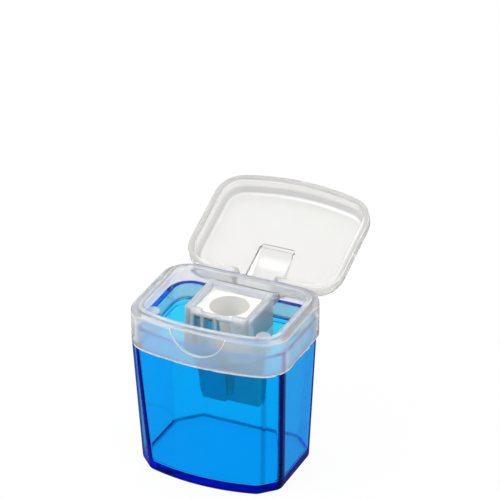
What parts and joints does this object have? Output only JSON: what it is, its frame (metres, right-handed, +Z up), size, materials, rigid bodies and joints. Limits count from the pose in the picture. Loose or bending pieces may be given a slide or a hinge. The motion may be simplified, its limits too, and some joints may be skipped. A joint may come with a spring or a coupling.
{
  "type": "canister pencil sharpener",
  "caption": "Hand-held pencil sharpener with a clear tapered shavings container, a frosted push-on collar holding the sharpener block, and a flip cover on a flexible strap.",
  "frame": {"origin": "middle of the container's flat underside, on the table", "axes": "+Z up, -Y towards the bowed front with the thumb recess, +X to the right"},
  "size_m": [0.034, 0.0524, 0.0444],
  "materials": {
    "clear_blue": "clear tinted polystyrene, polished",
    "frosted_collar": "natural polypropylene, satin",
    "frosted_cover": "natural polypropylene, satin",
    "cream_block": "opaque moulded polystyrene, satin",
    "blade_steel": "ground carbon steel",
    "screw_steel": "bright plated steel"
  },
  "bodies": {
    "container": {"container": "clear_blue"},
    "top": {"collar": "frosted_collar", "sharpener_block": "cream_block", "blade": "blade_steel", "blade_screw": "screw_steel"},
    "strap": {"hinge_strap": "frosted_cover"},
    "cover": {"cover": "frosted_cover"}
  },
  "joints": [
    {"name": "top_lift", "type": "slide", "parent": "container", "child": "top", "axis": [0, 0, 1], "range_m": [0, 0.03]},
    {"name": "cover_hinge", "type": "hinge", "parent": "top", "child": "cover", "pos_m": [0, 0.0137, 0.03485], "axis": [-1, 0, 0], "range_deg": [-157.3, 22.7], "deforming": ["hinge_strap"]},
    {"name": "strap_hinge", "type": "hinge", "parent": "top", "child": "strap", "pos_m": [0, 0.01322, 0.0327], "axis": [-1, 0, 0], "range_deg": [-137.4, 19.9]}
  ],
  "couplings": [
    {"joint": "strap_hinge", "follows": "cover_hinge", "ratio": 0.87287}
  ]
}
